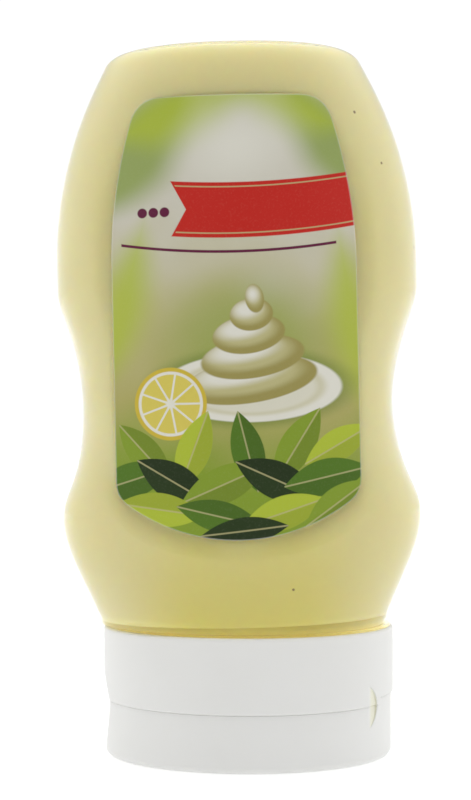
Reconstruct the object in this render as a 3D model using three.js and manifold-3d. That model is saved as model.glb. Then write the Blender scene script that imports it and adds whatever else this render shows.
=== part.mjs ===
// Mayonnaise squeeze bottle that stands on its wide flip-top cap.
// Millimetres, Z up. The front label faces -Y, the thumb tab +X and the lid's hinge -X.
// The origin is the middle of the lid's flat face, on which the bottle stands.
import * as THREE from "three";
import { mergeVertices } from "three/addons/utils/BufferGeometryUtils.js";
import Module from "manifold-3d";

const wasm = await Module();
wasm.setup();

// Bottle: outside sizes, measured up its own axis from the floor
const BOTTLE_TOP = 150.5;
const WALL = 1.0;
const FILL_GAP = 0.3;
const LEAN = THREE.MathUtils.degToRad(1.26);
const SHIFT = -0.25;
const BASE_ROUND = 4.2;
const BASE_DISH = 1.6;
const BASE_RING = 0.82;
const SHOULDER_FOOT = 28.85;
const SHOULDER_ROUND = 1.2;
const ROOT_HALF_WIDTH = 29.3;
const ROOT_HALF_DEPTH = 19.2;
const ROOT_TOP = 31.0;
const FLANGE_HALF_WIDTH = 30.4;
const FLANGE_HALF_DEPTH = 20.4;
const FLANGE_TOP = 28.25;
const FLANGE_FOOT = 27.9;
const NECK_RADIUS = 17;
const NECK_END = 18.6;

// Half width seen from the front: height, half width and slope at each turn of the outline
const SIDE_TURNS = [
  { at: 30.0, half: 31.1, slope: 0.42, steps: 3 }, // foot of the shoulder
  { at: 40.0, half: 35.6, slope: 0.45, steps: 5 }, // flank under the lower knuckle
  { at: 51.8, half: 38.85, slope: 0.0, steps: 4 }, // lower knuckle
  { at: 59.5, half: 36.55, slope: -0.41, steps: 4 }, // flank into the waist
  { at: 75.4, half: 33.45, slope: 0.0, steps: 4 }, // waist, where the hand grips
  { at: 93.0, half: 36.95, slope: 0.35, steps: 4 }, // flank out of the waist
  { at: 101.0, half: 39.0, slope: 0.0, steps: 2 }, // upper knuckle
  { at: 109.0, half: 39.0, slope: -0.02, steps: 4 }, // upright side
  { at: 130.0, half: 35.6, slope: -0.29, steps: 5 }, // long upper shoulder
  { at: 148.2, half: 27.85, slope: -0.54, steps: 0 }, // edge of the bottle's own base
];

// Half depth seen from the side, in the same way
const FRONT_TURNS = [
  { at: 30.0, half: 20.6, slope: 0.26 },
  { at: 50.0, half: 23.4, slope: 0.02 },
  { at: 95.0, half: 23.7, slope: 0.0 },
  { at: 138.0, half: 23.1, slope: -0.06 },
  { at: 148.2, half: 20.9, slope: -0.46 },
];

// How square the oval is: 2 is an ellipse, and the waist is squarer so that the label lies straight
const BODY_SQUARENESS = 2.25;
const WAIST_SQUARENESS = 0.4;
const WAIST_HEIGHT = 75.4;
const WAIST_REACH = 12;
const WAIST_SWAY = -0.45; // the grip is pressed in a little more on the right

// Label and the shallow panel that it lies in, front and back
const LABEL_TOP = 138.4;
const LABEL_HALF = 25.2;
const LABEL_TAPER_FROM = 104;
const LABEL_TAPER = 6.1;
const LABEL_CORNER = 4.8;
const LABEL_ARC = 39.5;
const LABEL_ARC_CENTRE = 87.6;
const LABEL_ARC_HALF = 22.6;
const LABEL_THICK = 0.3;
const LABEL_GAP = 0.25;
const LABEL_SHIFT = -0.6;
const PANEL_DEPTH = 22.95;
const PANEL_RADIUS = 66;
const PANEL_SIDE = 5.0;
const PANEL_ABOVE = 2.6;
const PANEL_BELOW = 6.5;
const PANEL_EDGE = 3.0;

// Cap: an oval collar that the neck plugs into, and the lid that the bottle stands on
const COLLAR_HALF_WIDTH = 31.4;
const COLLAR_HALF_DEPTH = 21.5;
const COLLAR_RIM = 27.85;
const COLLAR_FOOT = 12.2;
const COLLAR_ROUND = 0.7;
const SOCKET_RADIUS = 18.6;
const SOCKET_FLOOR = 17.6;
const LID_HALF_WIDTH = 30.95;
const LID_HALF_DEPTH = 21.1;
const LID_TOP = 11.85;
const LID_ROUND = 1.0;
const TAB_TOP = 13.3;
const TAB_HALF = 9.6;
const TAB_INSIDE = 26.2;
const TAB_GAP = 0.3;
const HINGE_FLAT = -29.5;
const HINGE_SLOPE_TOP = 19.5;
const HINGE_SLOPE_FOOT = 10.7;
const HINGE_LIP = 1.7;
const HINGE_LIP_SLOPE = 1.1;
const NICK_RADIUS = 5.7;
const NICK_CHORD = 25.0;
const NICK_OFFSET = 3.0;
const NICK_TILT = THREE.MathUtils.degToRad(13);
const NICK_HEIGHT = 12.0;

// How finely the rounds are cut
const OUTSIDE_SEGMENTS = 48;
const INSIDE_SEGMENTS = 36;
const CAP_SEGMENTS = 64;
const ROUND_STEPS = 3;

const lerp = THREE.MathUtils.lerp;
const smooth = (value) => THREE.MathUtils.smoothstep(value, 0, 1);

// Height on a smooth curve through turns with a given slope at each.
function curveAt(turns, at) {
  const last = turns.length - 2;
  let i = 0;
  while (i < last && at > turns[i + 1].at) {
    i += 1;
  }
  const from = turns[i];
  const to = turns[i + 1];
  const run = to.at - from.at;
  const t = (at - from.at) / run;
  const rise = t * t * (3 - 2 * t);
  const leave = t * (1 - t) * (1 - t) * run;
  const arrive = t * t * (t - 1) * run;
  return lerp(from.half, to.half, rise) + leave * from.slope + arrive * to.slope;
}

// How much of the waist there is at a height: 1 at the grip, 0 far from it.
function waistShare(height) {
  const away = (height - WAIST_HEIGHT) / WAIST_REACH;
  return Math.exp(-away * away);
}

function labelHalfAt(height) {
  const t = Math.max(0, (height - LABEL_TAPER_FROM) / (LABEL_TOP - LABEL_TAPER_FROM));
  return LABEL_HALF - LABEL_TAPER * t * t;
}

// Share of the label panel at a point of the wall: 1 under the label, 0 outside the panel's edge.
function panelShare(x, height) {
  const across = x - LABEL_SHIFT;
  const side = labelHalfAt(height) + PANEL_SIDE - Math.abs(across);
  const above = LABEL_TOP + PANEL_ABOVE - height;
  const below = LABEL_ARC + PANEL_BELOW - Math.hypot(across, height - LABEL_ARC_CENTRE);
  const under = height < LABEL_ARC_CENTRE ? below : PANEL_EDGE;
  const sideShare = smooth(side / (PANEL_SIDE - 1));
  const aboveShare = smooth(above / (PANEL_ABOVE - 1));
  const underShare = smooth(under / PANEL_EDGE);
  return Math.min(sideShare, aboveShare, underShare);
}

// A closed solid from rows of ovals, each with a height, half width, half depth and squareness.
// A row with an inset number belongs to the bottle's wall and takes the label panel's shape.
function ovalSolid(rows, segments) {
  const profile = rows.map((row) => new THREE.Vector2(row.halfWidth, row.height));
  const geometry = new THREE.LatheGeometry(profile, segments);
  const position = geometry.attributes.position;
  for (let i = 0; i < position.count; i += 1) {
    const row = rows[i % rows.length];
    const turn = (Math.floor(i / rows.length) / segments) * Math.PI * -2;
    const power = 2 / row.squareness;
    const cos = Math.cos(turn);
    const sin = Math.sin(turn);
    const sway = row.inset === undefined ? 0 : WAIST_SWAY * waistShare(row.height);
    const x = row.halfWidth * Math.sign(cos) * Math.abs(cos) ** power + sway;
    let y = row.halfDepth * Math.sign(sin) * Math.abs(sin) ** power;
    if (row.inset !== undefined && Math.abs(x) < LABEL_HALF + PANEL_SIDE) {
      const face = PANEL_DEPTH - row.inset - (x * x) / (2 * PANEL_RADIUS);
      y = Math.sign(y) * lerp(Math.abs(y), face, panelShare(x, row.height));
    }
    position.setXYZ(i, x, y, row.height);
  }
  return geometry;
}

// Rows of the bottle from the middle of its base down the side to the end of its neck.
function bottleRows(inset, neckRadius, neckEnd) {
  const rows = [];
  const edge = SIDE_TURNS[SIDE_TURNS.length - 1];
  const startTurn = Math.atan(-edge.slope);
  const round = BASE_ROUND - inset;
  const add = (height, halfWidth, halfDepth, squareness, wall) => {
    rows.push({ height, halfWidth, halfDepth, squareness, inset: wall ? inset : undefined });
  };

  // base, dished inside its standing ring
  const top = BOTTLE_TOP - inset;
  const ringWidth = edge.half - BASE_ROUND * Math.cos(startTurn);
  const ringDepth = curveAt(FRONT_TURNS, edge.at) - BASE_ROUND * Math.cos(startTurn);
  add(top - BASE_DISH, 0, 0, BODY_SQUARENESS, false);
  add(top - BASE_DISH, ringWidth * 0.5, ringDepth * 0.5, BODY_SQUARENESS, false);
  add(top, ringWidth * BASE_RING, ringDepth * BASE_RING, BODY_SQUARENESS, false);
  for (let i = 0; i <= ROUND_STEPS; i += 1) {
    const turn = lerp(Math.PI / 2, startTurn, i / ROUND_STEPS);
    const out = round * Math.cos(turn);
    const height = top - round * (1 - Math.sin(turn));
    add(height, ringWidth + out, ringDepth + out, BODY_SQUARENESS, false);
  }

  // side, from the base's edge down to the shoulder's foot
  for (let i = SIDE_TURNS.length - 2; i >= 0; i -= 1) {
    const { at, steps } = SIDE_TURNS[i];
    const above = SIDE_TURNS[i + 1].at;
    const below = i === 0 ? at + inset : at;
    const count = inset > 0 ? Math.ceil(steps / 2) : steps;
    for (let k = 1; k <= count; k += 1) {
      const height = lerp(above, below, k / count);
      const halfWidth = curveAt(SIDE_TURNS, height) - inset;
      const halfDepth = curveAt(FRONT_TURNS, height) - inset;
      const squareness = BODY_SQUARENESS + WAIST_SQUARENESS * waistShare(height);
      add(height, halfWidth, halfDepth, squareness, true);
    }
  }

  // shoulder's rounded foot, its underside and the neck
  const footWidth = SIDE_TURNS[0].half - inset;
  const footDepth = FRONT_TURNS[0].half - inset;
  const foot = SHOULDER_FOOT + inset;
  const half = SHOULDER_ROUND / 2;
  add(foot + half * 0.6, footWidth - half * 0.4, footDepth - half * 0.4, 2.1, false);
  add(foot, footWidth - SHOULDER_ROUND, footDepth - SHOULDER_ROUND, 2, false);
  add(foot, neckRadius, neckRadius, 2, false);
  add(neckEnd, neckRadius, neckRadius, 2, false);
  add(neckEnd, 0, 0, 2, false);
  return rows;
}

// Booleans: a three.js geometry becomes a closed manifold solid, and back
function solidOf(geometry) {
  const bare = new THREE.BufferGeometry();
  bare.setAttribute("position", geometry.attributes.position);
  bare.setIndex(geometry.index);
  const merged = mergeVertices(bare, 1e-4);
  const mesh = new wasm.Mesh({
    numProp: 3,
    vertProperties: merged.attributes.position.array,
    triVerts: new Uint32Array(merged.index.array),
  });
  return new wasm.Manifold(mesh);
}

function geometryOf(solid) {
  const mesh = solid.getMesh();
  const geometry = new THREE.BufferGeometry();
  geometry.setAttribute("position", new THREE.BufferAttribute(mesh.vertProperties, 3));
  geometry.setIndex(new THREE.BufferAttribute(mesh.triVerts, 1));
  geometry.computeVertexNormals();
  return geometry;
}

// Bottle: a blow-moulded wall of even thickness, open at the end of its neck
const outside = ovalSolid(bottleRows(0, NECK_RADIUS, NECK_END), OUTSIDE_SEGMENTS);
const hollow = ovalSolid(bottleRows(WALL, NECK_RADIUS - WALL, NECK_END - WALL), INSIDE_SEGMENTS);

// Root: the step under the shoulder, with a thin flange that rests flat on the collar's rim
function uprightOval(top, foot, halfWidth, halfDepth, middle) {
  const oval = ovalSolid(
    [
      capRow(top, 0, 0),
      capRow(top, halfWidth, halfDepth),
      capRow(foot, halfWidth, halfDepth),
      capRow(foot, 0, 0),
    ],
    OUTSIDE_SEGMENTS,
  );
  oval.translate(middle - SHIFT, 0, 0);
  oval.rotateY(LEAN);
  return solidOf(oval);
}
const rootMiddle = SHIFT - FLANGE_FOOT * Math.sin(LEAN);
const root = uprightOval(ROOT_TOP, FLANGE_FOOT, ROOT_HALF_WIDTH, ROOT_HALF_DEPTH, rootMiddle);
const flange = uprightOval(FLANGE_TOP, FLANGE_FOOT, FLANGE_HALF_WIDTH, FLANGE_HALF_DEPTH, 0);
const bottleGeometry = geometryOf(
  solidOf(outside).add(root).add(flange).subtract(solidOf(hollow)),
);

// Mayonnaise: fills the bottle from its base down into the neck
const fillInset = WALL + FILL_GAP;
const mayonnaiseGeometry = ovalSolid(
  bottleRows(fillInset, NECK_RADIUS - fillInset, NECK_END + FILL_GAP),
  INSIDE_SEGMENTS,
);

// Label: a die-cut sheet with a straight top, tapered sides and a bowed foot, bent round the panel
function labelOutline() {
  const shape = new THREE.Shape();
  const arcFoot = LABEL_ARC_CENTRE - Math.sqrt(LABEL_ARC ** 2 - LABEL_ARC_HALF ** 2);
  const arcSlope = LABEL_ARC_HALF / (LABEL_ARC_CENTRE - arcFoot);
  const cornerFoot = arcFoot + (LABEL_HALF - LABEL_ARC_HALF) * arcSlope;
  const arcTurn = Math.asin(LABEL_ARC_HALF / LABEL_ARC);
  const sideFoot = cornerFoot + 3;
  const sideTop = LABEL_TOP - LABEL_CORNER;
  const topCorner = labelHalfAt(LABEL_TOP);
  const down = -Math.PI / 2;
  shape.absarc(0, LABEL_ARC_CENTRE, LABEL_ARC, down - arcTurn, down + arcTurn, false);
  shape.quadraticCurveTo(LABEL_HALF, cornerFoot, LABEL_HALF, sideFoot);
  const taper = [];
  for (let i = 0; i <= 5; i += 1) {
    const height = lerp(LABEL_TAPER_FROM, sideTop, i / 5);
    taper.push(new THREE.Vector2(labelHalfAt(height), height));
  }
  taper.forEach((point) => shape.lineTo(point.x, point.y));
  shape.quadraticCurveTo(topCorner, LABEL_TOP, topCorner - LABEL_CORNER, LABEL_TOP);
  shape.lineTo(LABEL_CORNER - topCorner, LABEL_TOP);
  shape.quadraticCurveTo(-topCorner, LABEL_TOP, -taper[5].x, sideTop);
  taper.reverse().forEach((point) => shape.lineTo(-point.x, point.y));
  shape.lineTo(-LABEL_HALF, sideFoot);
  shape.quadraticCurveTo(-LABEL_HALF, cornerFoot, -LABEL_ARC_HALF, arcFoot);
  return shape;
}

function labelGeometry(side) {
  const width = LABEL_HALF * 2 + 4;
  const height = LABEL_TOP + 4;
  const sheet = new THREE.BoxGeometry(width, LABEL_THICK, height, 28, 1, 1);
  const position = sheet.attributes.position;
  for (let i = 0; i < position.count; i += 1) {
    const x = position.getX(i) + LABEL_SHIFT;
    const middle = PANEL_DEPTH + LABEL_GAP + LABEL_THICK / 2 - (x * x) / (2 * PANEL_RADIUS);
    position.setXYZ(i, x, side * middle + position.getY(i), position.getZ(i) + height / 2);
  }
  const reach = PANEL_DEPTH * 2;
  const cutter = new THREE.ExtrudeGeometry(labelOutline(), {
    depth: reach,
    bevelEnabled: false,
    curveSegments: 10,
  });
  cutter.rotateX(Math.PI / 2);
  cutter.translate(LABEL_SHIFT, side > 0 ? reach : 0, 0);
  return geometryOf(solidOf(sheet).intersect(solidOf(cutter)));
}

// Cap: collar and lid are ovals of revolution stretched to the cap's width and depth
function capRow(height, halfWidth, halfDepth) {
  return { height, halfWidth, halfDepth, squareness: 2 };
}

function roundedEdge(halfWidth, halfDepth, edge, radius, upward) {
  const rows = [];
  for (let i = 0; i <= ROUND_STEPS; i += 1) {
    const turn = (i / ROUND_STEPS) * (Math.PI / 2);
    const inset = radius * (1 - Math.sin(turn));
    const height = edge - upward * radius * (1 - Math.cos(turn));
    rows.push(capRow(height, halfWidth - inset, halfDepth - inset));
  }
  return rows;
}

const hingeProfile = new THREE.Shape([
  new THREE.Vector2(HINGE_FLAT - HINGE_LIP_SLOPE, HINGE_LIP),
  new THREE.Vector2(HINGE_FLAT, HINGE_LIP + HINGE_LIP_SLOPE),
  new THREE.Vector2(HINGE_FLAT, HINGE_SLOPE_FOOT),
  new THREE.Vector2(-COLLAR_HALF_WIDTH - TAB_GAP, HINGE_SLOPE_TOP),
  new THREE.Vector2(-COLLAR_HALF_WIDTH * 1.2, HINGE_SLOPE_TOP),
  new THREE.Vector2(-COLLAR_HALF_WIDTH * 1.2, HINGE_LIP),
]);
const hingeCut = new THREE.ExtrudeGeometry(hingeProfile, {
  depth: COLLAR_HALF_DEPTH * 2,
  bevelEnabled: false,
});
hingeCut.rotateX(Math.PI / 2);
hingeCut.translate(0, COLLAR_HALF_DEPTH, 0);

// Half-moon finger nick: a coin laid against the wall and tipped a little into it
function nickCut(side) {
  const chordDepth =
    COLLAR_HALF_DEPTH * Math.sqrt(1 - (NICK_CHORD / COLLAR_HALF_WIDTH) ** 2);
  const normal = new THREE.Vector2(
    NICK_CHORD / COLLAR_HALF_WIDTH ** 2,
    chordDepth / COLLAR_HALF_DEPTH ** 2,
  ).normalize();
  const heading = Math.atan2(normal.y, normal.x) - NICK_TILT;
  const out = new THREE.Vector2(Math.cos(heading), Math.sin(heading));
  const along = new THREE.Vector2(out.y, -out.x);
  const thick = 4;
  const coin = new THREE.CylinderGeometry(NICK_RADIUS, NICK_RADIUS, thick, 36);
  coin.rotateZ(-Math.PI / 2);
  coin.rotateZ(heading);
  coin.translate(
    NICK_CHORD - along.x * NICK_OFFSET + (out.x * thick) / 2,
    chordDepth - along.y * NICK_OFFSET + (out.y * thick) / 2,
    NICK_HEIGHT,
  );
  if (side < 0) {
    coin.scale(1, -1, 1);
    const index = coin.index.array;
    for (let i = 0; i < index.length; i += 3) {
      [index[i + 1], index[i + 2]] = [index[i + 2], index[i + 1]];
    }
  }
  return coin;
}

const nicks = solidOf(nickCut(-1)).add(solidOf(nickCut(1)));
const hinge = solidOf(hingeCut);

const collarBody = ovalSolid(
  [
    capRow(SOCKET_FLOOR, 0, 0),
    capRow(SOCKET_FLOOR, SOCKET_RADIUS, SOCKET_RADIUS),
    capRow(COLLAR_RIM, SOCKET_RADIUS, SOCKET_RADIUS),
    ...roundedEdge(COLLAR_HALF_WIDTH, COLLAR_HALF_DEPTH, COLLAR_RIM, COLLAR_ROUND, 1),
    capRow(COLLAR_FOOT, COLLAR_HALF_WIDTH, COLLAR_HALF_DEPTH),
    capRow(COLLAR_FOOT, 0, 0),
  ],
  CAP_SEGMENTS,
);
const tabSpan = COLLAR_HALF_WIDTH + 2 - TAB_INSIDE;
const tabSlot = new THREE.BoxGeometry(
  tabSpan + TAB_GAP,
  (TAB_HALF + TAB_GAP) * 2,
  TAB_TOP + TAB_GAP - COLLAR_FOOT + 1,
);
tabSlot.translate(
  TAB_INSIDE - TAB_GAP + (tabSpan + TAB_GAP) / 2,
  0,
  (TAB_TOP + TAB_GAP + COLLAR_FOOT - 1) / 2,
);
const collarGeometry = geometryOf(
  solidOf(collarBody).subtract(solidOf(tabSlot)).subtract(nicks).subtract(hinge),
);

function lidOval(top) {
  return ovalSolid(
    [
      capRow(top, 0, 0),
      capRow(top, LID_HALF_WIDTH, LID_HALF_DEPTH),
      ...roundedEdge(LID_HALF_WIDTH, LID_HALF_DEPTH, 0, LID_ROUND, -1).reverse(),
      capRow(0, 0, 0),
    ],
    CAP_SEGMENTS,
  );
}
const tabBlock = new THREE.BoxGeometry(tabSpan, TAB_HALF * 2, TAB_TOP);
tabBlock.translate(TAB_INSIDE + tabSpan / 2, 0, TAB_TOP / 2);
const tab = solidOf(lidOval(TAB_TOP)).intersect(solidOf(tabBlock));
const lidGeometry = geometryOf(
  solidOf(lidOval(LID_TOP)).add(tab).subtract(nicks).subtract(hinge),
);

// Materials
const clearPlastic = new THREE.MeshStandardMaterial({
  name: "clear_plastic",
  color: 0xe6dfb4,
  roughness: 0.12,
  metalness: 0,
});
const mayonnaise = new THREE.MeshStandardMaterial({
  name: "mayonnaise",
  color: 0xd8cc98,
  roughness: 0.45,
  metalness: 0,
});
const frontPrint = new THREE.MeshStandardMaterial({
  name: "front_print",
  color: 0xbeba9a,
  roughness: 0.4,
  metalness: 0,
});
const backPrint = new THREE.MeshStandardMaterial({
  name: "back_print",
  color: 0xbeba9a,
  roughness: 0.4,
  metalness: 0,
});
const whitePlastic = new THREE.MeshStandardMaterial({
  name: "white_plastic",
  color: 0xecece8,
  roughness: 0.38,
  metalness: 0,
});
const lidPlastic = whitePlastic.clone();

function piece(name, geometry, material) {
  const mesh = new THREE.Mesh(geometry, material);
  mesh.name = name;
  return mesh;
}

// The bottle sits a little crooked in its cap, so its own pieces lean together
const filledBottle = new THREE.Group();
filledBottle.add(
  piece("bottle", bottleGeometry, clearPlastic),
  piece("mayonnaise", mayonnaiseGeometry, mayonnaise),
  piece("label_front", labelGeometry(-1), frontPrint),
  piece("label_back", labelGeometry(1), backPrint),
);
filledBottle.position.x = SHIFT;
filledBottle.rotation.y = -LEAN;

const squeezeBottle = new THREE.Group();
squeezeBottle.add(
  filledBottle,
  piece("cap_collar", collarGeometry, whitePlastic),
  piece("cap_lid", lidGeometry, lidPlastic),
);

export default squeezeBottle;
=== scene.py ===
import math

import bmesh
import bpy
import numpy as np
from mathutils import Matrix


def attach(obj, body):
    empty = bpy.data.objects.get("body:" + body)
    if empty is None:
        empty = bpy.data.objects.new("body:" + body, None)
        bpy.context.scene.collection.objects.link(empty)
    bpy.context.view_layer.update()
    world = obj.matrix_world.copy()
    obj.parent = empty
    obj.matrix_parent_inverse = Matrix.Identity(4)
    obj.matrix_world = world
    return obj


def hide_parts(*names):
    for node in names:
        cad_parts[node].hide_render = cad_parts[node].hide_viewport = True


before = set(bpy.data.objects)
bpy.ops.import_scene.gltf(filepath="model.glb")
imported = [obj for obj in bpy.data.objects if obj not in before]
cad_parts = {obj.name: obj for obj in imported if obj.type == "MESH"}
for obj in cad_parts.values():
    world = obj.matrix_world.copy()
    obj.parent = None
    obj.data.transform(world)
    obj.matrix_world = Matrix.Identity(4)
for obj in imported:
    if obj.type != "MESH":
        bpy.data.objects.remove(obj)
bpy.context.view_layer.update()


# Lid. The bottle stands on this oval puck of satin white polypropylene.
# It is injection moulded in one piece with the collar: a thumb tab and two half-moon nicks
# open it on the right, and its thin hinge sits in a flat on the left.
MM = 0.001
LID_HALF_WIDTH = 30.95
LID_HALF_DEPTH = 21.1
LID_TOP = 12.12
LID_ROUND = 1.5
LID_EDGE = 0.1
TAB_TOP = 13.5
TAB_HALF = 9.6
TAB_SHARE = 0.85
TAB_RISE_FROM = 9.0
NICK_RADIUS = 5.7
NICK_CHORD = 25.0
NICK_OFFSET = 3.0
NICK_SLOPE = math.tan(math.radians(9))
NICK_HEIGHT = 12.0
NICK_PACE = 1.32
NICK_COLUMNS = 52
NICK_COLUMNS_FROM = -0.15
NICK_COLUMNS_TO = 0.02
HINGE_HEIGHTS = (0.9, 1.0, 11.0, 12.4, 19.5, 19.6)
HINGE_FLATS = (-40.0, -30.8, -29.7, -29.7, -31.6, -40.0)
SLOT_HALF = 9.9
COLLAR_HALF_WIDTH = 31.4
COLLAR_HALF_DEPTH = 21.5
CAP_CREASE = math.radians(32)
CAP_COLUMNS = 240
SIDE_STEP = 0.0004
LID_FOOT_RINGS = 9
LID_WALL_RINGS = 74


def cap_turns():
    """Angles round the oval, close together at the nicks and at the tab's two sides."""
    even = np.linspace(-math.pi, math.pi, CAP_COLUMNS, endpoint=False)
    nick_turn = math.acos(NICK_CHORD / COLLAR_HALF_WIDTH)
    nick = np.linspace(nick_turn + NICK_COLUMNS_FROM, nick_turn + NICK_COLUMNS_TO, NICK_COLUMNS)
    sides = []
    for side in (math.asin(TAB_HALF / LID_HALF_DEPTH), math.asin(SLOT_HALF / COLLAR_HALF_DEPTH)):
        sides += [side - SIDE_STEP, side + SIDE_STEP]
    right = np.concatenate([nick, sides])
    return np.unique(np.concatenate([even, right, -right]))


def cap_ring(turns, half_width, half_depth, height):
    """One ring of the cap's wall, pressed in at the nicks and cut back at the hinge."""
    x = half_width * np.cos(turns)
    y = half_depth * np.sin(turns)
    height = np.broadcast_to(height, turns.shape)
    along = NICK_PACE * (x - NICK_CHORD)
    in_nick = np.hypot(along + NICK_OFFSET, height - NICK_HEIGHT) < NICK_RADIUS
    depth = np.where(in_nick & (along > 0), along * NICK_SLOPE, 0.0)
    out_x = np.cos(turns) * half_depth
    out_y = np.sin(turns) * half_width
    out = np.hypot(out_x, out_y)
    x = x - depth * out_x / out
    y = y - depth * out_y / out
    x = np.maximum(x, np.interp(height, HINGE_HEIGHTS, HINGE_FLATS))
    return np.stack([x, y, height], axis=1)


def skin(name, rings, first, last, crease):
    """A closed skin over rings of points in millimetres, with a fan of faces at each end."""
    rings = np.array(rings)
    count, columns = rings.shape[:2]
    points = np.vstack([rings.reshape(-1, 3), first, last]) * MM
    faces = []
    for row in range(count - 1):
        for column in range(columns):
            beside = (column + 1) % columns
            low = row * columns
            high = low + columns
            faces.append((low + column, low + beside, high + beside, high + column))
    start = count * columns
    top = (count - 1) * columns
    for column in range(columns):
        beside = (column + 1) % columns
        faces.append((start, beside, column))
        faces.append((start + 1, top + column, top + beside))
    return solid_piece(name, points, faces, crease)


def solid_piece(name, points, faces, crease):
    """A piece from points in metres and faces, turned outwards and smooth up to its creases."""
    mesh = bpy.data.meshes.new(name)
    mesh.from_pydata(points.tolist(), [], faces)
    work = bmesh.new()
    work.from_mesh(mesh)
    bmesh.ops.recalc_face_normals(work, faces=work.faces)
    work.to_mesh(mesh)
    work.free()
    mesh.shade_smooth()
    mesh.set_sharp_from_angle(angle=crease)
    piece = bpy.data.objects.new(name, mesh)
    bpy.context.scene.collection.objects.link(piece)
    return piece


def lid_rings(turns):
    """Rings of the lid from the edge of its flat face up over the tab to its hidden top."""
    tab_turn = math.asin(TAB_HALF / LID_HALF_DEPTH)
    top = np.where(np.abs(turns) < tab_turn, TAB_TOP, LID_TOP)
    rings = []
    for turn in np.linspace(0, math.pi / 2, LID_FOOT_RINGS):
        inset = LID_ROUND * (1 - math.sin(turn))
        height = LID_ROUND * (1 - math.cos(turn))
        rings.append(cap_ring(turns, LID_HALF_WIDTH - inset, LID_HALF_DEPTH - inset, height))
    rise = (top - LID_EDGE - TAB_RISE_FROM) / (LID_TOP - LID_EDGE - TAB_RISE_FROM)
    for height in np.linspace(LID_ROUND, LID_TOP - LID_EDGE, LID_WALL_RINGS)[1:]:
        lifted = height + np.maximum(0, height - TAB_RISE_FROM) * (rise - 1)
        rings.append(cap_ring(turns, LID_HALF_WIDTH, LID_HALF_DEPTH, lifted))
    rings.append(cap_ring(turns, LID_HALF_WIDTH - LID_EDGE, LID_HALF_DEPTH - LID_EDGE, top))
    inner_width = LID_HALF_WIDTH * TAB_SHARE
    inner_depth = LID_HALF_DEPTH * TAB_SHARE
    rings.append(cap_ring(turns, inner_width, inner_depth, top))
    rings.append(cap_ring(turns, inner_width, inner_depth, LID_TOP))
    return rings


class Shade:
    """A socket of a finish. A sum written with it adds its Math nodes to the finish."""

    def __init__(self, tree, socket=None):
        self.tree = tree
        self.socket = socket

    def node(self, kind, settings=None, sockets=None, output=0):
        """Any node: its settings first, then the values or links of its sockets."""
        made = self.tree.nodes.new(kind)
        for name, value in (settings or {}).items():
            if name == "stops":
                ramp = made.color_ramp.elements
                while len(ramp) < len(value):
                    ramp.new(1.0)
                for stop, (place, colour) in zip(ramp, value):
                    stop.position = place
                    stop.color = colour
            else:
                setattr(made, name, value)
        for key, value in (sockets or {}).items():
            if isinstance(value, Shade):
                self.tree.links.new(value.socket, made.inputs[key])
            else:
                made.inputs[key].default_value = value
        return Shade(self.tree, made.outputs[output])

    def maths(self, operation, first, second=0.0):
        return self.node("ShaderNodeMath", {"operation": operation}, {0: first, 1: second})

    def __add__(self, other):
        return self.maths("ADD", self, other)

    def __radd__(self, other):
        return self.maths("ADD", other, self)

    def __sub__(self, other):
        return self.maths("SUBTRACT", self, other)

    def __rsub__(self, other):
        return self.maths("SUBTRACT", other, self)

    def __mul__(self, other):
        return self.maths("MULTIPLY", self, other)

    def __rmul__(self, other):
        return self.maths("MULTIPLY", other, self)

    def __truediv__(self, other):
        return self.maths("DIVIDE", self, other)

    def __pow__(self, other):
        return self.maths("POWER", self, other)

    def __neg__(self):
        return self.maths("MULTIPLY", self, -1.0)

    def __abs__(self):
        return self.maths("ABSOLUTE", self)

    def least(self, other):
        return self.maths("MINIMUM", self, other)

    def most(self, other):
        return self.maths("MAXIMUM", self, other)

    def wave(self):
        return self.maths("SINE", self)

    def soft_step(self, low, high):
        """0 below low, 1 above high and a smooth rise between them."""
        ends = {"Value": self, "From Min": low, "From Max": high}
        return self.node("ShaderNodeMapRange", {"interpolation_type": "SMOOTHSTEP"}, ends)

    def blend(self, below, above):
        """One colour over another, with this value as the share of the upper one."""
        return self.node("ShaderNodeMix", {"data_type": "RGBA"}, {0: self, 6: below, 7: above}, 2)

    def noise(self, scale, detail=2.0):
        """Even noise from 0 to 1 at this place, with scale features to the metre."""
        return self.node("ShaderNodeTexNoise", None, {"Vector": self, "Scale": scale, "Detail": detail})

    def bump(self, strength, distance):
        """A Normal that reads this value as a height."""
        sockets = {"Height": self, "Strength": strength, "Distance": distance}
        return self.node("ShaderNodeBump", None, sockets)


def new_finish(name, **sockets):
    """A material with one shader, whose constant sockets are set by name, and its place in space."""
    material = bpy.data.materials.new(name)
    material.use_nodes = True
    shader = material.node_tree.nodes["Principled BSDF"]
    for key, value in sockets.items():
        shader.inputs[key.replace("_", " ")].default_value = value
    place = Shade(material.node_tree).node("ShaderNodeTexCoord", None, None, "Object")
    return material, shader, place


def feed(shader, **sockets):
    """Links what changes over the surface to the shader's sockets."""
    for key, value in sockets.items():
        value.tree.links.new(value.socket, shader.inputs[key.replace("_", " ")])


def ink(red, green, blue):
    """A colour given as screen values from 0 to 255, as the shader needs it."""
    shares = np.array([red, green, blue]) / 255
    linear = np.where(shares > 0.04045, ((shares + 0.055) / 1.055) ** 2.4, shares / 12.92)
    return (*linear.tolist(), 1.0)


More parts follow.
